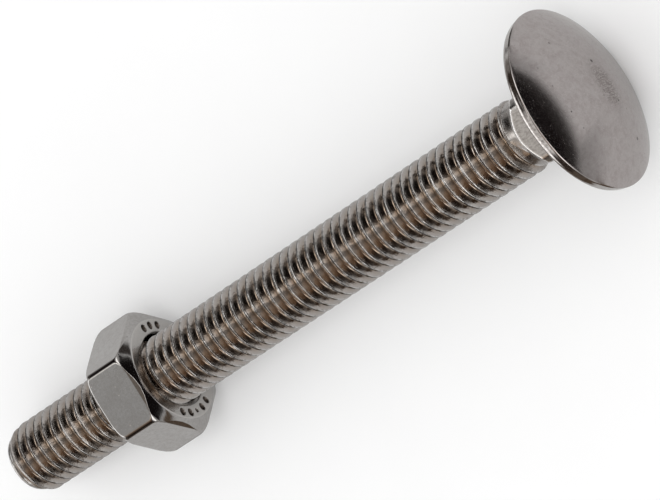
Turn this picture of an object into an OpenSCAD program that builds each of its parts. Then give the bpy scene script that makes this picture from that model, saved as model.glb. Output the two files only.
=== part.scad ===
// Carriage bolt with a hexagon nut: cup (mushroom) head, square neck,
// fully threaded shank. Millimetres, +Z up.
// The bolt lies as it comes to rest: the rim of the head and the tip-side
// edge of one flat of the nut touch the plane z = 0. The head is towards +X
// and the axis of the bolt stays in the plane y = 0.
// The origin is the centre of the footprint box, on that plane.

/* [Bolt length and thread] */
// Length from the underside of the head to the tip
bolt_len = 80; // [70:1:100]
// Thread pitch; the shank is drawn plain at its crest diameter
pitch = 1.25; // [1:0.05:1.5]
// Crest diameter of the thread at the free end, beyond the nut
crest_d = 7.86; // [7.76:0.01:7.88]
// Crest diameter of the thread where the long middle stretch starts
mid_d = 7.9; // [7.89:0.01:7.92]
// Crest diameter of the last stretch of thread before the neck
swell_d = 7.96; // [7.93:0.01:7.97]
// Turns of thread on that slightly fatter stretch
swell_turns = 7.5; // [3:0.5:11]
// Length of the plain run-out between the neck and the thread, in pitches
runout_turns = 0.8; // [0.5:0.1:2]
// Diameter of the plain run-out
runout_d = 7.3; // [7.1:0.02:7.34]
// Diameter of the flat end of the tip
tip_d = 6.4; // [5.6:0.1:6.8]
// Length of the chamfer at the tip
tip_chamfer = 1.5; // [0.6:0.1:2.2]

/* [Cup head] */
// Widest diameter, at the upper edge of the rim band
head_d = 20.1; // [19.4:0.05:20.65]
// Diameter of the seat under the head
seat_d = 19.66; // [18.8:0.02:19.8]
// Height of the rim band
rim_h = 1.08; // [0.7:0.02:1.6]
// Whole height of the head
head_h = 4.12; // [3.8:0.02:4.88]

/* [Square neck] */
// Width across the flats of the neck
neck_af = 7.4; // [7.4:0.02:7.8]
// Diameter across the rounded corners of the neck
neck_corner_d = 9.44; // [8.6:0.02:10.2]
// Length of the neck below the head, to the middle of a flat's end
neck_len = 5.15; // [4.4:0.05:5.6]
// Turn of the neck about the axis, from the nut's flats
neck_turn = -3; // [-45:0.5:45]

/* [Nut] */
// Width across the flats
nut_af = 13; // [12.73:0.01:13]
// Height of the nut
nut_m = 6.4; // [6.14:0.02:6.5]
// Diameter across the rounded corners
nut_corner_d = 14.86; // [14.4:0.02:15]
// Diameter of the bearing faces, where the 30 degree chamfers start
nut_face_d = 11.6; // [11.2:0.05:12]
// Diameter of the plain running bore that stands for the thread
nut_bore_d = 8.0; // [7.98:0.01:8.06]
// Diameter of the countersink at both faces
nut_csk_d = 8.7; // [8.2:0.05:8.75]
// Distance from the underside of the head to the middle of the nut
nut_at = 61.1; // [45:0.1:74]

/* [Hidden] */
$fn = 96;

head_r = head_d / 2;
crest_r = crest_d / 2;
// Dome: one ball surface through the rim's upper edge and the crown
dome_rise = head_h - rim_h;
dome_r = (head_r * head_r + dome_rise * dome_rise) / (2 * dome_rise);
// Neck
neck_a = neck_af / 2;
neck_cr = neck_corner_d / 2;
cone_z = neck_len - (neck_cr - neck_a);   // where the corners start to run out
neck_ro = runout_d / 2 - 0.15;            // the 45 degree cone ends inside the shank
thread_z = neck_len + runout_turns * pitch;   // where the thread starts
swell_z = thread_z + swell_turns * pitch;
free_z = nut_at + nut_m / 2;              // where the free end starts
// Nut
nut_a = nut_af / 2;
nut_r = nut_corner_d / 2;
face_r = nut_face_d / 2;
bore_r = nut_bore_d / 2;
csk_r = nut_csk_d / 2;
csk_h = (csk_r - bore_r);                 // 45 degree countersink
drop = (nut_r + 1 - face_r) * tan(30);    // chamfer, carried past the corners
// Rest: head rim at radius head_r, rim_h above the seat; nut edge at the
// middle of a flat, where the chamfer starts
nut_edge_z = nut_at + nut_m / 2 - (nut_a - face_r) * tan(30);
tilt = atan((head_r - nut_a) / (nut_edge_z + rim_h));
axis_z = head_r * cos(tilt) - rim_h * sin(tilt);
// Centre of the footprint along X
x_head = (head_h - dome_r) * cos(tilt) + dome_r;
x_tip = -(bolt_len * cos(tilt) + tip_d / 2 * sin(tilt));
x_mid = (x_head + x_tip) / 2;

// Local frame: z = 0 is the seat under the head and +z runs to the tip
module place() {
    translate([-x_mid, 0, axis_z])
        rotate([0, -(90 + tilt), 0])
            children();
}

// Frustum or cylinder between two heights
module turned(z0, z1, r0, r1) {
    translate([0, 0, z0])
        cylinder(h = z1 - z0, r1 = r0, r2 = r1);
}

// Cup head: a slightly tapered rim band cut off by the ball surface
module cup_head() {
    grow = (head_d - seat_d) / 2 / rim_h;
    intersection() {
        translate([0, 0, -head_h + dome_r])
            rotate([0, -90, 0])   // the ball's poles lie off the dome
                sphere(r = dome_r, $fn = 180);
        turned(-head_h - 0.5, 0, seat_d / 2 + grow * (head_h + 0.5), seat_d / 2, $fn = 180);
    }
}

// Square neck: flats, rounded corners, and a 45 degree run-out to the shank
module square_neck() {
    rotate([0, 0, neck_turn])
        intersection() {
            translate([-neck_a, -neck_a, -0.5])
                cube([neck_af, neck_af, neck_len + 1.5]);
            union() {
                turned(-0.5, cone_z, neck_cr, neck_cr);
                turned(cone_z, cone_z + neck_cr - neck_ro, neck_cr, neck_ro);
            }
        }
}

// Shank at the crest diameter of its thread, with the chamfered tip. The
// crests taper very slightly from the neck to the nut, and the free end
// beyond the nut is one true cylinder.
module shank() {
    turned(neck_len - 0.5, thread_z, runout_d / 2, runout_d / 2);
    turned(thread_z, thread_z + 0.3, runout_d / 2, swell_d / 2);
    turned(thread_z + 0.3, swell_z, swell_d / 2, swell_d / 2);
    turned(swell_z, swell_z + 1, swell_d / 2, mid_d / 2);
    turned(swell_z + 1, free_z, mid_d / 2, crest_r);
    turned(free_z, bolt_len - tip_chamfer, crest_r, crest_r);
    turned(bolt_len - tip_chamfer, bolt_len, crest_r, tip_d / 2);
}

// One forged piece: head, neck and shank
module carriage_bolt() {
    color([0.62, 0.60, 0.58])
        place()
            union() {
                cup_head();
                square_neck();
                shank();
            }
}

// Section of the nut, turned about the axis: chamfers, bore, countersinks
module nut_section() {
    h = nut_m / 2;
    o = nut_r + 1;
    polygon([
        [bore_r, -h + csk_h], [csk_r, -h], [face_r, -h], [o, -h + drop],
        [o, h - drop], [face_r, h], [csk_r, h], [bore_r, h - csk_h]
    ]);
}

// Hexagon nut, chamfered on both faces, two flats level with the table
module hex_nut() {
    color([0.66, 0.65, 0.63])
        place()
            translate([0, 0, nut_at])
                intersection() {
                    rotate_extrude()
                        nut_section();
                    translate([0, 0, -nut_m])
                        cylinder(h = 2 * nut_m, r = nut_r, $fn = 128);
                    rotate([0, 0, 30])
                        translate([0, 0, -nut_m])
                            cylinder(h = 2 * nut_m, r = nut_a / cos(30), $fn = 6);
                }
}

carriage_bolt();
hex_nut();
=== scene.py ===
import math

import bpy
import numpy as np
from mathutils import Matrix, Vector


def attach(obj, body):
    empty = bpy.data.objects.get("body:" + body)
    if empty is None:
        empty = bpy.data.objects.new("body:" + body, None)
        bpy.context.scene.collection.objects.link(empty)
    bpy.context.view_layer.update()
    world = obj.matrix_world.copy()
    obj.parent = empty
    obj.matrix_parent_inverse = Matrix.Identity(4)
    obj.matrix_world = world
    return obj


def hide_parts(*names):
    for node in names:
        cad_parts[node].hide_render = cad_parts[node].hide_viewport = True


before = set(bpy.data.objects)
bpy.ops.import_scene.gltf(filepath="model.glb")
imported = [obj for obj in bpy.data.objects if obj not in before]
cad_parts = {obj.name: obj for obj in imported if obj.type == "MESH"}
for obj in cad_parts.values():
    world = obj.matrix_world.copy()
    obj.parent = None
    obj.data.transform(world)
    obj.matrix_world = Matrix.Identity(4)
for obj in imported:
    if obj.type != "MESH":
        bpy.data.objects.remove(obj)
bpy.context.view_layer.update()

# ---------------------------------------------------------------------------
# Sizes in millimetres, in the bolt's own frame: z = 0 is the seat under the
# head, +z runs to the tip, x = up and y = across when the bolt lies at rest.
# ---------------------------------------------------------------------------
L = 80.0                       # under the head to the tip
P = 1.25                       # pitch
PHASE = 0.0                    # where a crest stands at azimuth 0
HEAD_R, SEAT_R, RIM_H, HEAD_H = 10.05, 9.83, 1.08, 4.12
RISE = HEAD_H - RIM_H
DOME_R = (HEAD_R ** 2 + RISE ** 2) / (2 * RISE)
NECK_A, NECK_CR, NECK_LEN, NECK_TURN = 3.7, 4.72, 5.15, math.radians(-3)
RUN_R = 3.65
SWELL_R, SWELL_Z = 3.98, 15.5
MID_R, FREE_R = 3.945, 3.93
TIP_Z, TIP_R = 78.5, 3.2
NUT_AT, NUT_H, NUT_A, NUT_FIL = 61.1, 3.2, 6.5, 0.60
NUT_FACE, NUT_CSK = 5.8, 4.35

TILT = math.radians(3.1272846)
AXIS_Z, X_MID = 9.976115, -37.957286
EX = np.array([-math.sin(TILT), 0.0, math.cos(TILT)])
EY = np.array([0.0, 1.0, 0.0])
EZ = np.array([-math.cos(TILT), 0.0, -math.sin(TILT)])
ORIGIN = np.array([-X_MID, 0.0, AXIS_Z])


def to_world(p):
    """Bolt frame in millimetres to the shared frame in metres."""
    p = np.asarray(p, float)
    return (ORIGIN + p[:, :1] * EX + p[:, 1:2] * EY + p[:, 2:3] * EZ) * 0.001


# ---------------------------------------------------------------------------
# Mesh shell made of rings that run round the axis
# ---------------------------------------------------------------------------
class Shell:
    """Rings of vertices joined in order along the outline, faces outward."""

    def __init__(self):
        self.v, self.f = [], []
        self.n = 0

    def add(self, r, z, th):
        r, z, th = np.broadcast_arrays(np.asarray(r, float), np.asarray(z, float), np.asarray(th, float))
        pts = np.stack([r * np.cos(th), r * np.sin(th), z], -1).reshape(-1, 3)
        ids = np.arange(self.n, self.n + len(pts))
        self.v.append(pts)
        self.n += len(pts)
        return ids.reshape(r.shape)

    def bridge(self, a, b):
        """Quads between two closed rings of the same count."""
        a2, b2 = np.roll(a, -1), np.roll(b, -1)
        self.f.extend(np.stack([a, a2, b2, b], -1).tolist())

    def loft(self, rings):
        for a, b in zip(rings[:-1], rings[1:]):
            self.bridge(a, b)

    def grid(self, g):
        """Quads over an open grid of ids, rows along the outline."""
        q = np.stack([g[:-1, :-1], g[:-1, 1:], g[1:, 1:], g[1:, :-1]], -1).reshape(-1, 4)
        for a, b, c, d in q.tolist():
            face = [a]
            for k in (b, c, d):
                if k not in face:
                    face.append(k)
            if len(face) > 2:
                self.f.append(face)

    def zipper(self, a, ta, b, tb):
        """Triangles between two closed rings of different counts."""
        na, nb = len(a), len(b)
        ta = np.append(ta, ta[0] + 2 * math.pi)
        tb = np.append(tb, tb[0] + 2 * math.pi)
        i = j = 0
        while i < na or j < nb:
            if j == nb or (i < na and ta[i + 1] <= tb[j + 1]):
                self.f.append([int(a[i % na]), int(a[(i + 1) % na]), int(b[j % nb])])
                i += 1
            else:
                self.f.append([int(a[i % na]), int(b[(j + 1) % nb]), int(b[j % nb])])
                j += 1

    def cap(self, ring, z, first):
        """Closes a ring with a fan to a point on the axis."""
        c = int(self.add(0.0, z, 0.0).reshape(-1)[0])
        nxt = np.roll(ring, -1)
        for a, b in zip(ring.tolist(), nxt.tolist()):
            self.f.append([c, b, a] if first else [c, a, b])

    def build(self, name, extra=None):
        loc = np.concatenate(self.v)
        me = bpy.data.meshes.new(name)
        me.from_pydata(to_world(loc).tolist(), [], self.f)
        me.update()
        me.shade_smooth()
        # Vertex normals weighted by face area, so flats stay flat
        n = np.zeros((len(loc), 3))
        w = to_world(loc)
        tri, quad = [f for f in self.f if len(f) == 3], [f for f in self.f if len(f) == 4]
        for faces, k in ((np.array(tri), 3), (np.array(quad), 4)):
            if not len(faces):
                continue
            p = w[faces]
            cr = np.cross(p[:, 1] - p[:, 0], p[:, 2] - p[:, 0]) if k == 3 else np.cross(p[:, 2] - p[:, 0], p[:, 3] - p[:, 1])
            for c in range(k):
                np.add.at(n, faces[:, c], cr)
        n /= np.maximum(np.linalg.norm(n, axis=1, keepdims=True), 1e-20)
        me.normals_split_custom_set_from_vertices(n.tolist())
        a = me.attributes.new("loc", "FLOAT_VECTOR", "POINT")
        a.data.foreach_set("vector", loc.astype(np.float32).ravel())
        for key, fn in (extra or {}).items():
            a = me.attributes.new(key, "FLOAT", "POINT")
            a.data.foreach_set("value", fn(loc).astype(np.float32))
        ob = bpy.data.objects.new(name, me)
        bpy.context.scene.collection.objects.link(ob)
        return ob


def ramp01(x, a, b):
    t = np.clip((np.asarray(x, float) - a) / (b - a), 0, 1)
    return t * t * (3 - 2 * t)


def wave(th, seed, terms=7, low=2):
    """A smooth closed wobble of about unit size."""
    rng = np.random.default_rng(seed)
    out = np.zeros_like(np.asarray(th, float))
    for k in range(low, low + terms):
        out = out + rng.uniform(0.4, 1.0) * np.sin(k * th + rng.uniform(0, 2 * math.pi)) / terms
    return out


# ---------------------------------------------------------------------------
# External thread outline
# ---------------------------------------------------------------------------
def crest_radius(z):
    z = np.asarray(z, float)
    r = SWELL_R + (MID_R - SWELL_R) * ramp01(z, SWELL_Z - 0.8, SWELL_Z + 1.2)
    return r + (FREE_R - MID_R) * ramp01(z, 30, 62)


def thread_cut(d, rc, seam, thin):
    """Radius at axial distance d from the crest's centre, 60 degree flanks.
    Rolling leaves a fine seam along the crest."""
    flank = 3.572 - thin - math.sqrt(3) * (d - P / 4)
    k = 0.014                                   # crest rounding
    top = -k * np.logaddexp(-flank / k, -(rc + k * 0.1) / k)
    top = top - seam * (1 - ramp01(d, 0.03, 0.085))
    s = np.clip(P / 2 - d, 0, None)
    root = 3.424 - np.sqrt(np.clip(0.2 ** 2 - np.minimum(s, 0.1732) ** 2, 0, None))
    return np.where(s < 0.1732, np.maximum(root, top), top)


def bolt_radius(th, z):
    u = np.mod((z - PHASE) / P - th / (2 * math.pi), 1.0)
    d = np.minimum(u, 1 - u) * P
    rc = crest_radius(z) + 0.006 * np.sin(3.1 * z + 2.0 * np.sin(5 * th))
    rc = np.minimum(rc, SWELL_R)
    turn = (z - PHASE) / P                                   # place along the helix, in turns
    seam = 0.050 + 0.050 * np.sin(9.1 * turn + 3.0 * np.sin(2.3 * turn)) * np.sin(23.0 * turn + 1.0)
    thin = 0.018 + 0.030 * ramp01(z, 60, 66)
    r = thread_cut(d, rc, np.clip(seam, 0.034, 0.09) * (z < L - 1.2), thin)
    e = ramp01(z + 0.12 * np.sin(th + 0.7), 6.02, 6.75)   # run-in beside the neck
    r = RUN_R + e * (r - RUN_R)
    cone = FREE_R - (z - TIP_Z) * (FREE_R - TIP_R) / (L - TIP_Z)
    return np.minimum(r, np.where(z > TIP_Z - 0.5, cone, 99.0))


def neck_outline(th):
    q = np.mod(th - NECK_TURN + math.pi / 4, math.pi / 2) - math.pi / 4
    flat = NECK_A / np.cos(q)
    k = 0.05
    return -k * np.logaddexp(-flat / k, -NECK_CR / k)


def neck_columns():
    q = np.concatenate([np.linspace(-30, 30, 13)[:-1], np.linspace(30, 60, 17)[:-1]])
    th = np.radians(np.concatenate([q + 90 * k for k in range(4)])) + NECK_TURN
    return np.sort(th)


# ---------------------------------------------------------------------------
# The bolt: head, neck and threaded shank as one closed skin
# ---------------------------------------------------------------------------
def make_bolt():
    s = Shell()
    nh = 144
    th = np.arange(nh) * 2 * math.pi / nh
    rim = 1.0 - 0.0016 * (1 + wave(th, 5, 9, 3))           # the rim is not quite round
    centre = -HEAD_H + DOME_R
    a_rim = math.asin(HEAD_R / DOME_R)
    rings = []
    b = 0.11
    for k in range(1, 27):
        a = a_rim * k / 26
        r, z = DOME_R * math.sin(a), centre - DOME_R * math.cos(a)
        if r > HEAD_R - b:
            r = HEAD_R - b
            z = centre - math.sqrt(DOME_R ** 2 - r * r)
        f = 1 - (1 - rim) * (r / HEAD_R) ** 6
        rings.append(s.add(r * f, z + 0.014 * (1 - (r / HEAD_R) ** 2), th))
    s.cap(rings[0], -HEAD_H + 0.014, True)
    # rounded upper edge of the rim, band, rounded lower edge
    edge = [(HEAD_R - 0.055, -RIM_H - 0.022), (HEAD_R - 0.012, -RIM_H + 0.03), (HEAD_R - 0.008, -RIM_H + 0.10)]
    slope = (HEAD_R - SEAT_R) / RIM_H
    for z in (-0.8, -0.55, -0.34):
        edge.append((SEAT_R - slope * z - 0.006, z))
    for a in (15, 35, 55, 75, 90):
        ar = math.radians(a)
        edge.append((SEAT_R - 0.26 + 0.26 * math.cos(ar), -0.26 + 0.26 * math.sin(ar)))
    for r, z in edge:
        rings.append(s.add(r * rim, z, th))
    for r in (9.0, 8.0, 7.0, 6.2):
        rings.append(s.add(r, 0.0, th))
    s.loft(rings)
    # neck: a square with rounded corners, filleted to the seat
    tn = neck_columns()
    rn = neck_outline(tn)
    first = s.add(5.75, 0.0, tn)
    s.zipper(rings[-1], th, first, tn)
    rings = [first, s.add(5.75 + 0.5 * (rn + 0.32 - 5.75), 0.0, tn)]
    for a in (0, 22.5, 45, 67.5, 90):
        ar = math.radians(a)
        rings.append(s.add(rn + 0.32 * (1 - math.sin(ar)), 0.32 * (1 - math.cos(ar)), tn))
    ze = NECK_LEN + NECK_A - rn                              # where the 45 degree end cuts the neck
    e = 0.08
    for k in range(1, 7):
        rings.append(s.add(rn, 0.32 + (ze - e - 0.32) * k / 6, tn))
    rings.append(s.add(rn - 0.010, ze - 0.004, tn))
    rings.append(s.add(rn - e * 0.75, ze + e * 0.45, tn))
    for k in range(1, 6):
        r = (rn - e * 0.75) + (RUN_R + 0.02 - (rn - e * 0.75)) * k / 5
        rings.append(s.add(r, np.maximum(NECK_LEN + NECK_A - r, 0), tn))
    zr = NECK_LEN + NECK_A - RUN_R
    rings.append(s.add(RUN_R, zr + 0.04, tn))
    rings.append(s.add(RUN_R, zr + 0.14, tn))
    s.loft(rings)
    # thread: rows follow the helix; a wedge at each end closes it to a ring
    nt = 64
    u = np.array([0, .018, .040, .063, .088, .12, .19, .28, .36, .41, .455, .50, .545, .59, .64, .72, .81, .88, .912, .937, .960, .982])
    n = len(u)
    ti = np.arange(nt + 1) * 2 * math.pi / nt
    z0 = PHASE + P * math.ceil((zr + 0.30 - PHASE) / P)
    row = lambda j: z0 + P * (j // n + u[j % n])
    m = 0
    while row(m + 1) + P <= L - 0.012:
        m += 1
    start = s.add(RUN_R, z0 - 0.06, ti[:-1])
    s.zipper(rings[-1], tn, start, ti[:-1])
    base = s.add(bolt_radius(ti[:-1], np.full(nt, z0)), z0, ti[:-1])
    s.bridge(start, base)
    zz = np.array([row(j) for j in range(m + 1)])[:, None] + P * ti[None, :-1] / (2 * math.pi)
    tt = np.broadcast_to(ti[None, :-1], zz.shape)
    body = s.add(bolt_radius(tt, zz), zz, tt)
    body[0, 0] = base[0]                                     # same point
    g = np.array([(row(m - n + k) + P - row(m)) / P for k in range(n + 1)])
    ez = row(m) + P * ti[None, :-1] / (2 * math.pi) + g[:, None] * P * (1 - ti[None, :-1] / (2 * math.pi))
    et = np.broadcast_to(ti[None, :-1], ez.shape)
    end = s.add(bolt_radius(et, ez), ez, et)
    end[0] = body[m]
    closed = np.zeros((m + 1, nt + 1), int)
    closed[:, :-1] = body
    closed[: m + 1 - n, -1] = body[n:, 0]
    closed[m + 1 - n:, -1] = end[1: n + 1, 0]
    s.grid(closed)
    wz = z0 + np.append(u, 1.0)[:, None] * P * ti[None, :-1] / (2 * math.pi)
    wt = np.broadcast_to(ti[None, :-1], wz.shape)
    wedge = s.add(bolt_radius(wt, wz), wz, wt)
    wedge[0] = base
    wedge[n] = body[0]
    wedge[:, 0] = base[0]
    wc = np.zeros((n + 1, nt + 1), int)
    wc[:, :-1] = wedge
    wc[:, -1] = body[: n + 1, 0]
    wc[0, -1] = base[0]
    s.grid(wc)
    ec = np.zeros((n + 1, nt + 1), int)
    ec[:, :-1] = end
    ec[:, -1] = end[n, 0]
    s.grid(ec)
    # tip: the last of the chamfer, a small edge and a slightly dished end
    last = end[n]
    rings = [last]
    for r, z in ((TIP_R - 0.01, L - 0.03), (TIP_R - 0.05, L - 0.002), (TIP_R - 0.16, L), (2.6, L), (2.0, L - 0.01), (1.4, L - 0.05), (0.8, L - 0.10), (0.3, L - 0.12)):
        rings.append(s.add(r, z, ti[:-1]))
    s.loft(rings)
    s.cap(rings[-1], L - 0.125, False)
    return s


def groove_depth(loc):
    """0 on the crests, 1 in the roots of the thread."""
    r = np.hypot(loc[:, 0], loc[:, 1])
    z = loc[:, 2]
    d = np.clip((3.93 - r) / 0.70, 0, 1)
    return np.where((z > 6.2) & (z < L - 0.6), d, 0.0)


def seam_mask(loc):
    """1 in the seam along the crests."""
    th = np.arctan2(loc[:, 1], loc[:, 0])
    z = loc[:, 2]
    u = np.mod((z - PHASE) / P - th / (2 * math.pi), 1.0)
    d = np.minimum(u, 1 - u) * P
    r = np.hypot(loc[:, 0], loc[:, 1])
    hollow = np.clip((crest_radius(z) - 0.012 - r) / 0.03, 0, 1)
    return np.where((d < 0.07) & (z > 6.8) & (z < TIP_Z - 0.1), hollow, 0.0)


# ---------------------------------------------------------------------------
# The nut
# ---------------------------------------------------------------------------
def nut_outline(th, up):
    """Hexagon with rounded corners at a distance up from mid-height. Near
    the faces each flat leans in a little, as forming dies leave it."""
    u = np.abs(up)
    a = NUT_A - 0.72 * 0.03 * np.logaddexp(0, (u - 2.57) / 0.03)
    fil = NUT_FIL + 0.30 * ramp01(u, 1.6, 2.5)
    q = np.mod(th + math.pi / 6, math.pi / 3) - math.pi / 6
    c = (a - fil) / math.cos(math.pi / 6)
    d = np.abs(np.abs(q) - math.pi / 6)
    arc = c * np.cos(d) + np.sqrt(np.clip(fil ** 2 - (c * np.sin(d)) ** 2, 0, None))
    q1 = np.arctan((a - fil) * math.tan(math.pi / 6) / a)
    return np.where(np.abs(q) <= q1, a / np.cos(q), arc)


def nut_columns():
    q1 = math.atan((NUT_A - NUT_FIL) * math.tan(math.pi / 6) / NUT_A)
    t1 = math.tan(q1)
    flat = np.arctan(np.array([-1, -.985, -.965, -.94, -.9, -.8, -.6, -.3, 0, .3, .6, .8, .9, .94, .965, .985, 1]) * t1)
    arc = np.linspace(q1, math.pi / 3 - q1, 9)[1:-1]
    q = np.concatenate([flat, arc])
    return np.sort(np.concatenate([q + k * math.pi / 3 for k in range(6)]))


def inner_cut(th, z):
    """Internal thread with its countersinks, meshing with the bolt's."""
    u = np.mod((z - PHASE) / P - th / (2 * math.pi), 1.0)
    d = np.minimum(u, 1 - u) * P                             # from the bolt's crest
    flank = 3.588 + 0.05 - math.sqrt(3) * (d - P / 4)
    r = np.clip(flank, 3.34, 4.06)
    far = np.abs(z - NUT_AT)
    cone = NUT_CSK - (NUT_H - far)
    return np.maximum(r, cone)


# Punch marks on the face towards the head: azimuth in degrees, radius
MARKS = [(84.5, 5.08, 0.39), (98, 5.10, 0.39), (111.5, 5.08, 0.39),
         (244.5, 5.08, 0.39), (259, 5.10, 0.39), (272, 5.06, 0.22), (285, 5.10, 0.39), (299, 5.08, 0.39)]


def stamp(th, r):
    """Depth of the punch marks at a point of the nut's face."""
    x, y = r * np.cos(th), r * np.sin(th)
    out = np.zeros_like(x)
    for az, rad, size in MARKS:
        a = math.radians(az)
        along = x * math.cos(a) + y * math.sin(a) - rad      # oval, longer outwards
        across = y * math.cos(a) - x * math.sin(a)
        d = np.hypot(along / 1.28, across) / size
        out = np.maximum(out, 0.22 * (1 - ramp01(d, 0.50, 1.0)))
        out = np.minimum(out, 0.22)
    return out


def make_nut():
    s = Shell()
    to = nut_columns()
    q = np.abs(np.mod(to + math.pi / 6, math.pi / 3) - math.pi / 6) / (math.pi / 6)
    edge = 0.045 + 0.33 * ramp01(q, 0.78, 0.99)              # rounding of the chamfer's edge
    # where the 30 degree chamfer cuts the outline, found by halving
    la, lb = np.full(len(to), 1.0), np.full(len(to), NUT_H)
    for _ in range(40):
        mu = (la + lb) / 2
        inside = nut_outline(to, mu) > NUT_FACE + (NUT_H - mu) * math.sqrt(3)
        lb = np.where(inside, mu, lb)
        la = np.where(inside, la, mu)
    ui = (la + lb) / 2
    ri = nut_outline(to, ui)
    nf = 560
    tf = np.arange(nf) * 2 * math.pi / nf
    nb = 96
    tb = np.arange(nb) * 2 * math.pi / nb
    h = NUT_H

    def face(sign):
        """Rings from the bore to the chamfer on one face (in that order)."""
        z = NUT_AT + sign * h
        rings = [s.add(NUT_CSK - 0.02, z - sign * 0.03, tb), s.add(NUT_CSK + 0.02, z - sign * 0.006, tb), s.add(NUT_CSK + 0.07, z, tb)]
        return rings

    # face towards the head, with the marks
    f0 = face(-1)
    s.loft(f0)
    fine_r = np.linspace(4.50, 5.66, 27)
    fine = [s.add(r, NUT_AT - h + (stamp(tf, r) if 0 < k < 26 else 0.0), tf) for k, r in enumerate(fine_r)]
    s.zipper(f0[-1], tb, fine[0], tf)
    s.loft(fine)
    c = math.tan(math.pi / 6)
    outer = []
    outer.append(s.add(NUT_FACE - 0.09, NUT_AT - h, to))
    s.zipper(fine[-1], tf, outer[0], to)

    def side(sign):
        """Rings from the face's edge, over the chamfer, down to mid-height."""
        zf = NUT_AT + sign * h
        e = edge + (0.07 if sign > 0 else 0.0)
        cone = lambda r: zf - sign * (r - NUT_FACE) * c
        out = [s.add(NUT_FACE + 0.01, zf - sign * 0.018, to), s.add(NUT_FACE + 0.10, cone(NUT_FACE + 0.10), to)]
        for k in (1, 2, 3, 4):
            r = NUT_FACE + 0.10 + (ri - e - NUT_FACE - 0.10) * k / 4
            out.append(s.add(r, cone(r), to))
        r0, u0 = ri - e, ui + e * c
        u2 = ui - e
        r2 = nut_outline(to, u2)
        for t in (0.25, 0.5, 0.75, 1.0):
            r = (1 - t) ** 2 * r0 + 2 * t * (1 - t) * ri + t * t * r2
            u = (1 - t) ** 2 * u0 + 2 * t * (1 - t) * ui + t * t * u2
            out.append(s.add(r, NUT_AT + sign * u, to))
        for k, nominal in enumerate((2.85, 2.72, 2.62, 2.57, 2.535, 2.51, 2.49, 2.465, 2.43, 2.38, 2.30, 2.18, 2.02, 1.8, 1.5, 1.1, 0.6)):
            u = np.minimum(nominal, u2 - 0.012 * (k + 1))
            out.append(s.add(nut_outline(to, u), NUT_AT + sign * u, to))
        return out

    outer += side(-1) + [s.add(nut_outline(to, 0.0), NUT_AT, to)] + side(1)[::-1]
    outer.append(s.add(NUT_FACE - 0.09, NUT_AT + h, to))
    s.loft(outer)
    # face towards the tip
    f1 = face(1)[::-1]
    mid = s.add(5.0, NUT_AT + h, to)
    s.bridge(outer[-1], mid)
    s.zipper(mid, to, f1[0], tb)
    s.loft(f1)
    # internal thread
    zs = NUT_AT + h - 0.05 - (2 * h - 0.10) * np.arange(0, 93) / 92
    inner = [s.add(inner_cut(tb, np.full(nb, z)), z, tb) for z in zs]
    s.loft([f1[-1]] + inner + [f0[0]])
    return s


bolt_shell = make_bolt()
bolt = bolt_shell.build("bolt_visual", {"depth": groove_depth, "seam": seam_mask})
nut_shell = make_nut()


def bore_depth(loc):
    r = np.hypot(loc[:, 0], loc[:, 1])
    return np.clip((4.30 - r) / 0.5, 0, 1)


def mark_depth(loc):
    z = loc[:, 2] - (NUT_AT - NUT_H)
    r = np.hypot(loc[:, 0], loc[:, 1])
    return np.where((r > 4.45) & (r < 5.7), np.clip(z / 0.05, 0, 1) * (z < 0.3), 0.0)


def painted_corner_reflection(loc):
    """1 along the middle of the six rounded corners, where a dark reflection is painted into the colour."""
    th = np.arctan2(loc[:, 1], loc[:, 0])
    q = np.degrees(math.pi / 6 - np.abs(np.mod(th + math.pi / 6, math.pi / 3) - math.pi / 6))
    u = np.abs(loc[:, 2] - NUT_AT)
    return np.where(np.hypot(loc[:, 0], loc[:, 1]) > 6.6, 1 - ramp01(q, 1.0, 2.8), 0.0) * (1 - ramp01(u, 2.0, 2.35))


nut = nut_shell.build("nut_visual", {"depth": bore_depth, "mark": mark_depth, "painted_dark_corner": painted_corner_reflection})

for ob, body, node, slot in ((bolt, "bolt", "carriage_bolt", "bolt_steel"), (nut, "nut", "hex_nut", "nut_steel")):
    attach(ob, body)
    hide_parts(node)


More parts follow.
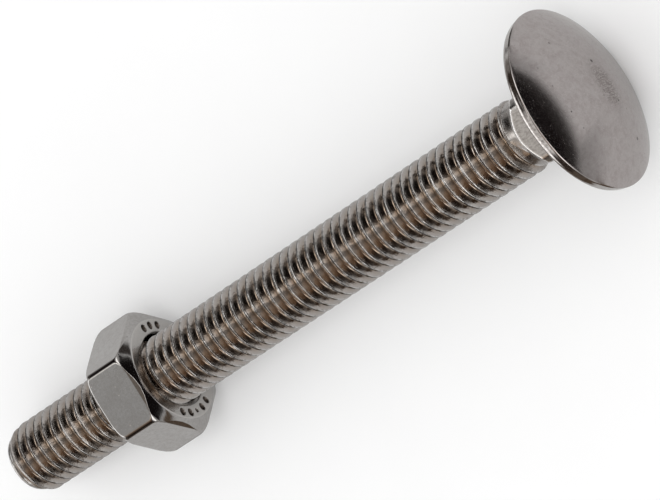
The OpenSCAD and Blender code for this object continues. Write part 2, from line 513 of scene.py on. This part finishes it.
# ---------------------------------------------------------------------------
# Node helpers
# ---------------------------------------------------------------------------
class Graph:
    def __init__(self, tree):
        self.t = tree
        tree.nodes.clear()

    def new(self, kind, **props):
        n = self.t.nodes.new(kind)
        for k, v in props.items():
            setattr(n, k, v)
        return n

    def put(self, sock, v):
        if isinstance(v, bpy.types.NodeSocket):
            self.t.links.new(v, sock)
        elif v is not None:
            sock.default_value = v

    def math(self, op, a, b=None, c=None, clamp=False):
        n = self.new("ShaderNodeMath", operation=op, use_clamp=clamp)
        for i, v in enumerate((a, b, c)):
            if v is not None:
                self.put(n.inputs[i], v)
        return n.outputs[0]

    def vmath(self, op, a, b=None, scale=None):
        n = self.new("ShaderNodeVectorMath", operation=op)
        self.put(n.inputs[0], a)
        if b is not None:
            self.put(n.inputs[1], b)
        if scale is not None:
            self.put(n.inputs["Scale"], scale)
        return n.outputs["Value"] if op in ("LENGTH", "DOT_PRODUCT", "DISTANCE") else n.outputs["Vector"]

    def step(self, v, a, b, lo=0.0, hi=1.0):
        n = self.new("ShaderNodeMapRange", interpolation_type="SMOOTHSTEP")
        self.put(n.inputs["Value"], v)
        n.inputs["From Min"].default_value = a
        n.inputs["From Max"].default_value = b
        n.inputs["To Min"].default_value = lo
        n.inputs["To Max"].default_value = hi
        return n.outputs["Result"]

    def mix(self, f, a, b, blend="MIX"):
        n = self.new("ShaderNodeMix", data_type="RGBA", blend_type=blend)
        n.clamp_factor = True
        self.put(n.inputs[0], f)
        for i, v in ((6, a), (7, b)):
            if isinstance(v, (tuple, list)):
                v = tuple(v) + (1.0,) if len(v) == 3 else tuple(v)
            self.put(n.inputs[i], v)
        return n.outputs[2]

    def noise(self, vec, scale, detail=3.0, rough=0.55, dist=0.0):
        n = self.new("ShaderNodeTexNoise", noise_dimensions="3D")
        self.put(n.inputs["Vector"], vec)
        n.inputs["Scale"].default_value = scale
        n.inputs["Detail"].default_value = detail
        n.inputs["Roughness"].default_value = rough
        n.inputs["Distortion"].default_value = dist
        return n.outputs["Fac"]

    def voronoi(self, vec, scale, feature="F1"):
        n = self.new("ShaderNodeTexVoronoi", feature=feature)
        self.put(n.inputs["Vector"], vec)
        n.inputs["Scale"].default_value = scale
        return n.outputs["Distance"]

    def sep(self, v):
        n = self.new("ShaderNodeSeparateXYZ")
        self.put(n.inputs[0], v)
        return n.outputs

    def comb(self, x, y, z):
        n = self.new("ShaderNodeCombineXYZ")
        for i, v in enumerate((x, y, z)):
            self.put(n.inputs[i], v)
        return n.outputs[0]

    def attr(self, name, out):
        n = self.new("ShaderNodeAttribute", attribute_type="GEOMETRY", attribute_name=name)
        return n.outputs[out]

    def ramp(self, v, stops, mode="LINEAR"):
        n = self.new("ShaderNodeValToRGB")
        n.color_ramp.interpolation = mode
        el = n.color_ramp.elements
        while len(el) > 1:
            el.remove(el[-1])
        for i, (p, c) in enumerate(stops):
            e = el[0] if i == 0 else el.new(p)
            e.position = p
            e.color = (c, c, c, 1) if isinstance(c, (int, float)) else tuple(c) + (1,)
        self.put(n.inputs[0], v)
        return n.outputs[0]

    def bump(self, height, strength, dist, normal=None):
        n = self.new("ShaderNodeBump")
        n.inputs["Strength"].default_value = strength
        n.inputs["Distance"].default_value = dist
        self.put(n.inputs["Height"], height)
        if normal is not None:
            self.put(n.inputs["Normal"], normal)
        return n.outputs["Normal"]


def steel(name):
    m = bpy.data.materials.new(name)
    m.use_nodes = True
    g = Graph(m.node_tree)
    out = g.new("ShaderNodeOutputMaterial")
    bsdf = g.new("ShaderNodeBsdfPrincipled")
    bsdf.inputs["Metallic"].default_value = 1.0
    g.t.links.new(bsdf.outputs[0], out.inputs["Surface"])
    return m, g, bsdf


def bolt_material():
    m, g, bsdf = steel("bolt_steel")
    loc = g.attr("loc", "Vector")
    depth = g.attr("depth", "Fac")
    x, y, z = g.sep(loc)[:3]
    r = g.math("SQRT", g.math("ADD", g.math("MULTIPLY", x, x), g.math("MULTIPLY", y, y)))
    ang = g.math("ARCTAN2", y, x)
    dome = g.step(z, -0.9, -1.2)
    neck = g.math("MULTIPLY", g.step(z, -0.1, 0.1), g.step(z, 5.4, 5.1))
    shank = g.step(z, 5.8, 6.2)
    runout = g.math("MULTIPLY", g.step(z, 4.0, 4.6), g.step(z, 7.4, 6.4))
    tip = g.step(z, 78.3, 78.9)
    free = g.step(z, 60.0, 66.0)
    # colour: cold-worked stainless, slightly warm, patchy
    big = g.noise(loc, 0.35, 3, 0.5)
    mid = g.noise(loc, 2.2, 4, 0.6, 0.6)
    fine = g.noise(loc, 5.5, 3, 0.65)
    base = g.mix(g.step(big, 0.35, 0.65), (0.440, 0.422, 0.408), (0.408, 0.388, 0.372))
    base = g.mix(g.math("MULTIPLY", g.step(mid, 0.40, 0.75), 0.30), base, (0.350, 0.325, 0.305))
    base = g.mix(g.math("MULTIPLY", g.step(fine, 0.38, 0.7), 0.22), base, (0.30, 0.275, 0.262))
    base = g.mix(g.math("MULTIPLY", shank, 0.6), base, (0.505, 0.482, 0.465))
    base = g.mix(g.math("MULTIPLY", shank, g.step(depth, 0.16, 0.03)), base, g.mix(free, (0.55, 0.54, 0.53), (0.44, 0.43, 0.42)))
    base = g.mix(g.math("MULTIPLY", g.math("MULTIPLY", tip, g.step(mid, 0.35, 0.62)), 0.7), base, (0.25, 0.235, 0.225))
    base = g.mix(g.math("MULTIPLY", g.math("MULTIPLY", runout, g.step(mid, 0.35, 0.65)), 0.5), base, (0.27, 0.25, 0.24))
    base = g.mix(g.math("MULTIPLY", dome, 0.6), base, g.mix(g.step(mid, 0.3, 0.7), (0.440, 0.402, 0.398), (0.398, 0.362, 0.358)))
    base = g.mix(g.math("MULTIPLY", neck, 0.7), base, g.mix(g.step(g.noise(g.vmath("MULTIPLY", loc, (1.0, 1.0, 0.45)), 5.5, 4, 0.75), 0.40, 0.66), (0.50, 0.49, 0.48), (0.25, 0.24, 0.23)))
    # rough patches on the rim band of the head
    band = g.math("MULTIPLY", g.math("MULTIPLY", g.step(r, 9.55, 9.7), g.step(z, -1.12, -1.0)), g.step(g.noise(loc, 2.6, 4, 0.8), 0.44, 0.60))
    base = g.mix(g.math("MULTIPLY", band, 0.55), base, (0.17, 0.15, 0.14))
    # roots of the thread: coloured darker and brownish in patches, the more so the deeper
    root_tint = g.math("MULTIPLY", g.math("POWER", depth, 1.3), g.step(g.noise(loc, 1.6, 3, 0.6), 0.2, 0.6, 0.55, 1.0))
    base = g.mix(g.math("MULTIPLY", root_tint, 0.85), base, (0.250, 0.178, 0.118))
    # crests: rubbed bright in patches, dull in others, all the way round
    worn = g.noise(g.vmath("MULTIPLY", loc, (1.0, 1.0, 0.5)), 2.6, 3, 0.75)
    base = g.mix(g.math("MULTIPLY", g.math("MULTIPLY", shank, g.step(depth, 0.30, 0.08)), g.math("MULTIPLY", g.step(worn, 0.50, 0.38), 0.62)), base, (0.20, 0.18, 0.165))
    rubbed = g.math("MULTIPLY", g.math("MULTIPLY", g.step(depth, 0.16, 0.03), shank), g.step(worn, 0.42, 0.56))
    base = g.mix(g.math("MULTIPLY", rubbed, g.math("SUBTRACT", 0.45, g.math("MULTIPLY", free, 0.25))), base, (0.74, 0.73, 0.72))
    base = g.mix(g.math("MULTIPLY", g.attr("seam", "Fac"), 0.98), base, (0.055, 0.045, 0.040))
    # the edge between a flat of the neck and its 45 degree end is coloured near-white: partly rubbed bright, partly a
    # painted highlight line
    inset = g.math("SUBTRACT", NECK_LEN + NECK_A, g.math("ADD", r, z))
    lip = g.math("MULTIPLY", g.math("MULTIPLY", g.step(inset, 0.010, 0.035), g.step(inset, 0.22, 0.14)), g.step(z, 2.4, 2.8))
    base = g.mix(g.math("MULTIPLY", lip, 0.85), base, (0.93, 0.92, 0.91))
    # scuffs near the middle of the dome
    swirl = g.vmath("MULTIPLY", loc, (1.0, 3.4, 1.0))
    scuff = g.noise(swirl, 1.5, 5, 0.7, 1.8)
    near = g.step(g.vmath("DISTANCE", g.vmath("MULTIPLY", loc, (1.5, 0.85, 1.0)), (-1.0, -0.2, -4.0)), 3.3, 0.7)
    scuffs = g.math("MULTIPLY", g.math("MULTIPLY", g.step(scuff, 0.44, 0.55), near), dome)
    base = g.mix(g.math("MULTIPLY", scuffs, 0.95), base, (0.165, 0.140, 0.132))
    # sparse pits
    pit = g.step(g.voronoi(loc, 0.62), 0.075, 0.045)
    base = g.mix(g.math("MULTIPLY", g.math("MULTIPLY", pit, dome), 0.55), base, (0.16, 0.13, 0.12))
    for spot, size in (((-0.98, 2.51, -3.92), 0.24), ((6.07, -0.90, -3.05), 0.12), ((-2.38, -6.35, -2.81), 0.24), ((-1.3, -2.2, -3.9), 0.17), ((2.4, 6.1, -2.9), 0.15)):
        hole = g.step(g.vmath("DISTANCE", loc, spot), size, size * 0.45)
        base = g.mix(g.math("MULTIPLY", hole, 0.9), base, (0.050, 0.040, 0.038))
    mottle = g.noise(loc, 1.35, 4, 0.7, 0.4)
    base = g.mix(g.math("MULTIPLY", g.math("MULTIPLY", g.step(mottle, 0.42, 0.68), dome), 0.55), base, (0.320, 0.280, 0.276))
    base = g.mix(g.math("MULTIPLY", g.math("MULTIPLY", g.step(fine, 0.50, 0.68), dome), 0.38), base, (0.52, 0.485, 0.475))
    g.put(bsdf.inputs["Base Color"], base)
    speck = g.step(g.noise(loc, 8.0, 2, 0.5), 0.60, 0.72)
    rough = g.math("ADD", g.math("MULTIPLY", fine, 0.06), 0.055)
    rough = g.math("ADD", rough, g.math("MULTIPLY", dome, 0.042))
    rough = g.math("ADD", rough, g.math("MULTIPLY", neck, 0.20))
    rough = g.math("ADD", rough, g.math("MULTIPLY", runout, 0.16))
    rough = g.math("ADD", rough, g.math("MULTIPLY", tip, 0.20))
    rough = g.math("ADD", rough, g.math("MULTIPLY", shank, 0.012))
    rough = g.math("MULTIPLY", rough, g.math("SUBTRACT", 1.0, g.math("MULTIPLY", lip, 0.55)))
    rough = g.math("ADD", rough, g.math("MULTIPLY", g.step(mid, 0.35, 0.75), 0.04))
    rough = g.math("ADD", rough, g.math("MULTIPLY", g.math("MULTIPLY", speck, dome), 0.13))
    rough = g.math("ADD", rough, g.math("MULTIPLY", scuffs, 0.10), clamp=True)
    g.put(bsdf.inputs["Roughness"], rough)
    # relief: fine grain all over, drag lines on the neck, scuffs, dents on the crests
    round_xyz = g.comb(g.math("MULTIPLY", ang, 1.2), g.math("MULTIPLY", r, 3.0), g.math("MULTIPLY", z, 9.0))
    roll = g.noise(round_xyz, 1.6, 3, 0.6)
    blotch = g.noise(loc, 1.15, 3, 0.55, 0.3)
    n1 = g.bump(fine, 0.8, 1.6e-6)
    n1 = g.bump(g.math("MULTIPLY", roll, shank), 0.9, 1.1e-5, n1)
    n1 = g.bump(g.math("MULTIPLY", blotch, shank), 1.0, 4.2e-5, n1)
    n1 = g.bump(g.math("MULTIPLY", mid, shank), 1.0, 7.0e-6, n1)
    drag = g.noise(g.vmath("MULTIPLY", loc, (1.6, 7.0, 2.0)), 1.9, 4, 0.7, 0.4)
    n1 = g.bump(g.math("MULTIPLY", drag, neck), 0.9, 9.0e-6, n1)
    n1 = g.bump(g.math("MULTIPLY", scuffs, -1.0), 0.6, 3.0e-6, n1)
    n1 = g.bump(g.math("MULTIPLY", g.math("MULTIPLY", pit, dome), -1.0), 0.7, 1.2e-5, n1)
    g.put(bsdf.inputs["Normal"], n1)
    return m


def nut_material():
    m, g, bsdf = steel("nut_steel")
    loc = g.attr("loc", "Vector")
    depth = g.attr("depth", "Fac")
    mark = g.attr("mark", "Fac")
    x, y, z = g.sep(loc)[:3]
    r = g.math("SQRT", g.math("ADD", g.math("MULTIPLY", x, x), g.math("MULTIPLY", y, y)))
    face = g.math("MULTIPLY", g.step(g.math("ABSOLUTE", g.math("SUBTRACT", z, NUT_AT)), NUT_H - 0.05, NUT_H - 0.02), g.step(r, 5.85, 5.8))
    big = g.noise(loc, 0.5, 3, 0.5)
    mid = g.noise(loc, 2.6, 4, 0.65, 0.5)
    fine = g.noise(loc, 5.5, 3, 0.65)
    base = g.mix(g.step(big, 0.35, 0.65), (0.440, 0.430, 0.422), (0.412, 0.400, 0.390))
    base = g.mix(g.math("MULTIPLY", g.step(mid, 0.38, 0.68), 0.60), base, (0.330, 0.318, 0.306))
    base = g.mix(g.math("MULTIPLY", g.step(fine, 0.38, 0.7), 0.22), base, (0.29, 0.275, 0.26))
    base = g.mix(g.math("MULTIPLY", face, 0.75), base, (0.60, 0.582, 0.562))
    base = g.mix(g.math("MULTIPLY", depth, 0.7), base, (0.12, 0.095, 0.075))
    base = g.mix(g.math("MULTIPLY", mark, 0.95), base, (0.050, 0.038, 0.030))
    # painted reflection: a dark line along the middle of each of the six rounded corners
    base = g.mix(g.math("MULTIPLY", g.attr("painted_dark_corner", "Fac"), 0.85), base, (0.085, 0.075, 0.070))
    pit = g.step(g.voronoi(loc, 0.9), 0.085, 0.05)
    base = g.mix(g.math("MULTIPLY", pit, 0.5), base, (0.20, 0.18, 0.17))
    g.put(bsdf.inputs["Base Color"], base)
    rough = g.math("ADD", g.math("MULTIPLY", fine, 0.05), 0.05)
    rough = g.math("ADD", rough, g.math("MULTIPLY", g.step(mid, 0.35, 0.75), 0.04))
    rough = g.math("ADD", rough, g.math("MULTIPLY", face, 0.05))
    rough = g.math("ADD", rough, g.math("MULTIPLY", mark, 0.3), clamp=True)
    g.put(bsdf.inputs["Roughness"], rough)
    n1 = g.bump(fine, 0.8, 1.4e-6)
    # turned faces: shallow rings
    rings = g.math("SINE", g.math("MULTIPLY", r, 26.0))
    n1 = g.bump(g.math("MULTIPLY", rings, face), 0.5, 8.0e-7, n1)
    # drawn flats: faint lines along the bar
    drawn = g.noise(g.comb(g.math("MULTIPLY", x, 5.0), g.math("MULTIPLY", y, 5.0), g.math("MULTIPLY", z, 0.5)), 2.0, 4, 0.7)
    n1 = g.bump(drawn, 0.6, 1.6e-6, n1)
    n1 = g.bump(g.math("MULTIPLY", pit, -1.0), 0.6, 1.0e-5, n1)
    g.put(bsdf.inputs["Normal"], n1)
    return m


bolt.data.materials.append(bolt_material())
nut.data.materials.append(nut_material())


# ---------------------------------------------------------------------------
# Floor, studio light and camera
# ---------------------------------------------------------------------------
def make_floor():
    me = bpy.data.meshes.new("floor")
    s = 6.0
    me.from_pydata([(-s, -s, 0), (s, -s, 0), (s, s, 0), (-s, s, 0)], [], [(0, 1, 2, 3)])
    ob = bpy.data.objects.new("floor", me)
    bpy.context.scene.collection.objects.link(ob)
    m = bpy.data.materials.new("floor_pale")
    m.use_nodes = True
    g = Graph(m.node_tree)
    out = g.new("ShaderNodeOutputMaterial")
    bsdf = g.new("ShaderNodeBsdfPrincipled")
    bsdf.inputs["Roughness"].default_value = 0.9
    bsdf.inputs["Specular IOR Level"].default_value = 0.0
    pos = g.new("ShaderNodeTexCoord").outputs["Object"]
    x, y, z = g.sep(pos)[:3]
    grain = g.noise(pos, 60.0, 3, 0.6)
    pale = g.mix(grain, (0.90, 0.90, 0.90), (0.93, 0.93, 0.93))
    # painted reflection: seen only in reflections, the floor is coloured near-black beyond the head, so the metal
    # reflects dark there
    ahead = g.math("MAXIMUM", g.math("SUBTRACT", x, 0.042), 0.001)
    az = g.math("ARCTAN2", y, ahead)
    low = g.math("ARCTAN2", 0.017, ahead)                    # angle below the horizon, from the head
    painted_dark_ahead = g.math("MULTIPLY", g.step(low, 0.31, 0.10), g.math("MULTIPLY", g.step(az, 0.70, 0.46), g.step(az, -0.64, -0.50)))
    painted_dark_ahead = g.math("MAXIMUM", painted_dark_ahead, g.math("MULTIPLY", g.math("MULTIPLY", g.step(low, 0.17, 0.12), g.step(az, 0.98, 0.82)), g.step(az, 0.30, 0.40)))
    painted_dark_ahead = g.math("MAXIMUM", painted_dark_ahead, g.math("MULTIPLY", g.math("MULTIPLY", g.step(low, 0.155, 0.12), g.step(az, -0.84, -0.74)), g.step(az, -0.40, -0.50)))
    tail = g.math("MULTIPLY", g.math("MULTIPLY", g.step(low, 1.05, 0.10), g.step(az, -0.30, -0.45)), g.step(az, -1.10, -0.85))
    painted_dark_ahead = g.math("MAXIMUM", painted_dark_ahead, g.math("MULTIPLY", tail, 0.50))
    tail = g.math("MULTIPLY", g.math("MULTIPLY", g.step(low, 0.62, 0.10), g.step(az, 0.42, 0.58)), g.step(az, 1.10, 0.90))
    painted_dark_ahead = g.math("MAXIMUM", painted_dark_ahead, g.math("MULTIPLY", tail, 0.45))
    # painted shade: seen only in reflections, the floor is coloured dark beside, behind and to the far sides of the
    # bolt
    side = g.math("MULTIPLY", g.step(y, -0.027, -0.035), g.step(x, 0.078, 0.060))
    seen = g.mix(side, (0.705, 0.70, 0.695), (0.125, 0.088, 0.060))
    back = g.math("MULTIPLY", g.math("MULTIPLY", g.step(y, 0.025, 0.036), g.step(x, 0.0, 0.018)), g.step(x, 0.064, 0.050))
    behind = g.math("MULTIPLY", g.math("MULTIPLY", g.step(y, 0.039, 0.049), g.step(x, 0.038, 0.048)), g.step(x, 0.092, 0.076))
    seen = g.mix(g.math("MAXIMUM", back, behind), seen, (0.050, 0.042, 0.038))
    far = g.math("MULTIPLY", g.step(g.math("ABSOLUTE", y), 0.038, 0.050), g.step(x, 0.00, -0.02))
    seen = g.mix(g.math("MULTIPLY", far, 0.75), seen, (0.16, 0.13, 0.11))
    seen = g.mix(g.math("MULTIPLY", painted_dark_ahead, 0.98), seen, (0.015, 0.012, 0.011))
    # the painted patches show only in glossy rays; seen directly the floor stays pale
    glossy = g.new("ShaderNodeLightPath").outputs["Is Glossy Ray"]
    g.put(bsdf.inputs["Base Color"], g.mix(glossy, pale, seen))
    g.t.links.new(bsdf.outputs[0], out.inputs["Surface"])
    me.materials.append(m)
    return ob


def make_world():
    w = bpy.data.worlds.new("studio")
    bpy.context.scene.world = w
    w.use_nodes = True
    w.cycles.sampling_method = "NONE"
    g = Graph(w.node_tree)
    out = g.new("ShaderNodeOutputWorld")
    bg = g.new("ShaderNodeBackground")
    d = g.vmath("NORMALIZE", g.new("ShaderNodeTexCoord").outputs["Generated"])
    x, y, z = g.sep(d)[:3]
    beta = g.math("ARCTAN2", y, z)                           # round the bolt's axis, 0 is up
    p = g.math("ADD", g.math("MULTIPLY", beta, 1 / (2 * math.pi)), 0.5)
    at = lambda deg: (deg + 180) / 360
    tipward = g.ramp(p, [
        (at(-180), (1.0, 1.0, 1.0)), (at(-98), (1.02, 1.02, 1.01)), (at(-91), (0.60, 0.58, 0.56)),
        (at(-86), (0.06, 0.045, 0.035)), (at(-58), (0.05, 0.032, 0.024)), (at(-49), (0.30, 0.205, 0.145)),
        (at(-40), (0.50, 0.335, 0.215)), (at(-27), (0.76, 0.58, 0.44)), (at(-19), (1.02, 0.89, 0.77)), (at(-11), (0.92, 0.83, 0.75)), (at(-4), (0.54, 0.53, 0.52)),
        (at(3), (0.49, 0.49, 0.488)), (at(9), (1.1, 1.07, 1.03)), (at(14), (2.60, 2.57, 2.51)), (at(21), (2.20, 2.16, 2.09)),
        (at(29), (0.50, 0.47, 0.44)), (at(37), (0.10, 0.085, 0.08)), (at(45), (0.020, 0.016, 0.015)),
        (at(71), (0.012, 0.010, 0.010)), (at(79), (0.06, 0.056, 0.052)), (at(86), (0.42, 0.41, 0.40)), (at(92), (1.05, 1.05, 1.05)), (at(180), (1.0, 1.0, 1.0)),
    ])
    # the dark sides lighten towards the tip's end
    tipward = g.mix(g.math("MULTIPLY", g.step(x, -0.60, -0.68), 0.34), tipward, (0.80, 0.775, 0.75))
    # low over the tip: pale in the middle, brown-black to both sides
    low = g.math("MULTIPLY", g.step(x, -0.66, -0.74), g.step(z, 0.66, 0.58))
    wide = g.mix(g.math("MULTIPLY", g.step(y, -0.50, -0.36), g.step(y, 0.30, 0.14)), (0.060, 0.045, 0.036), (1.05, 1.02, 1.0))
    tipward = g.mix(low, tipward, wide)
    line = g.math("MULTIPLY", g.math("MULTIPLY", g.step(x, -0.83, -0.90), g.step(z, 0.44, 0.34)), g.step(z, -0.05, 0.01))
    tipward = g.mix(line, tipward, (2.6, 2.6, 2.6))
    az = g.math("ARCTAN2", y, x)
    aside = g.math("ABSOLUTE", az)
    headward = g.mix(g.step(z, 0.55, 0.78), (0.55, 0.54, 0.53), (0.26, 0.225, 0.195))
    spot = g.math("MULTIPLY", g.math("MULTIPLY", g.step(aside, 0.50, 0.64), g.step(aside, 1.42, 1.25)), g.math("MULTIPLY", g.step(z, 0.76, 0.66), g.step(z, 0.34, 0.44)))
    headward = g.mix(spot, headward, (2.5, 2.48, 2.45))
    band = g.math("MULTIPLY", g.math("MULTIPLY", g.step(z, 0.36, 0.43), g.step(z, 0.60, 0.53)), g.step(aside, 1.0, 0.8))
    headward = g.mix(band, headward, (2.5, 2.45, 2.4))
    dark = g.math("MULTIPLY", g.math("MULTIPLY", g.step(az, 0.72, 0.46), g.step(az, -0.64, -0.50)), g.step(z, 0.41, 0.33))
    headward = g.mix(dark, headward, (0.010, 0.008, 0.008))
    styled = g.mix(g.step(x, -0.22, 0.02), tipward, headward)
    lp = g.new("ShaderNodeLightPath")
    even = g.mix(lp.outputs["Is Camera Ray"], (0.97, 0.97, 0.97), (0.89, 0.89, 0.89))
    col = g.mix(lp.outputs["Is Glossy Ray"], even, styled)
    g.put(bg.inputs["Color"], col)
    bg.inputs["Strength"].default_value = 1.0
    g.t.links.new(bg.outputs[0], out.inputs["Surface"])


def make_light():
    la = bpy.data.lights.new("softbox", "AREA")
    la.shape = "RECTANGLE"
    la.size, la.size_y = 0.42, 0.46
    la.energy = 1.5
    ob = bpy.data.objects.new("softbox", la)
    bpy.context.scene.collection.objects.link(ob)
    direction = Vector((math.cos(math.radians(76)), 0.0, math.sin(math.radians(76))))
    ob.location = direction * 0.95
    ob.rotation_mode = "QUATERNION"
    ob.rotation_quaternion = direction.to_track_quat("Z", "Y")
    ob.visible_camera = False
    ob.visible_glossy = False


def make_camera():
    cam = bpy.data.cameras.new("camera")
    cam.lens = 312.612
    cam.sensor_width = 36.0
    cam.clip_start, cam.clip_end = 0.01, 100.0
    ob = bpy.data.objects.new("camera", cam)
    right = Vector((0.72159449, -0.53100315, -0.44422635))
    up = Vector((0.47611695, 0.84644989, -0.23840141))
    fwd = Vector((-0.50260725, 0.03947455, -0.86361317))
    ob.matrix_world = Matrix((
        (right.x, up.x, -fwd.x, 0.29794712),
        (right.y, up.y, -fwd.y, -0.02187058),
        (right.z, up.z, -fwd.z, 0.51216499),
        (0, 0, 0, 1),
    ))
    bpy.context.scene.collection.objects.link(ob)
    bpy.context.scene.camera = ob


make_floor()
make_world()
make_light()
make_camera()

sc = bpy.context.scene
sc.view_settings.view_transform = "Standard"
sc.view_settings.look = "None"

bpy.context.view_layer.update()
